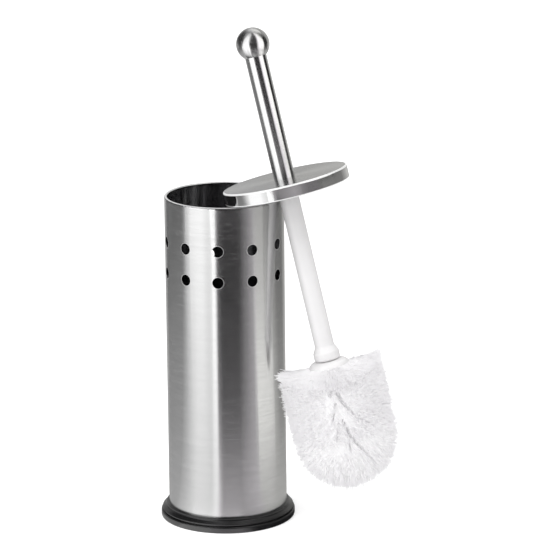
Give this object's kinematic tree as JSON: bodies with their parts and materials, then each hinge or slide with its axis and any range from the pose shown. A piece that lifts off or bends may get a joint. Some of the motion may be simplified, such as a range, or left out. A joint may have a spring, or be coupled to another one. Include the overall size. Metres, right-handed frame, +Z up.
{
  "type": "toilet brush holder",
  "caption": "Perforated round steel holder on a moulded base, with a lidded toilet brush that hangs by its lid on the rim.",
  "frame": {"origin": "on the holder's axis, at the level of the surface that the base stands on", "axes": "+Z up along the holder's axis; +X towards the side on which the brush hangs"},
  "size_m": [0.1971, 0.108, 0.3994],
  "materials": {
    "brushed_steel": "brushed",
    "polished_steel": "polished",
    "stud_steel": "plain turned",
    "black_plastic": "satin moulded",
    "cup_plastic": "satin moulded",
    "insert_plastic": "plain moulded",
    "white_plastic": "smooth moulded",
    "bristle": "bristle filament"
  },
  "bodies": {
    "holder": {"holder_tube": "brushed_steel", "base_ring": "black_plastic"},
    "cup": {"drip_cup": "cup_plastic"},
    "brush": {"lid_cap": "brushed_steel", "handle_tube": "polished_steel", "ball_knob": "polished_steel", "knob_stud": "stud_steel", "top_plug": "insert_plastic", "foot_plug": "insert_plastic", "brush_shaft": "white_plastic", "head_core": "white_plastic", "bristle_tier_1": "bristle", "bristle_tier_2": "bristle", "bristle_tier_3": "bristle", "bristle_tier_4": "bristle", "bristle_tier_5": "bristle", "bristle_tier_6": "bristle", "bristle_tier_7": "bristle", "bristle_dome": "bristle", "bristle_tip": "bristle"}
  },
  "joints": [
    {"name": "brush_lift", "type": "slide", "parent": "holder", "child": "brush", "axis": [0, 0, 1], "range_m": [0, 0.3]},
    {"name": "cup_lift", "type": "slide", "parent": "holder", "child": "cup", "axis": [0, 0, 1], "range_m": [0, 0.18]}
  ]
}
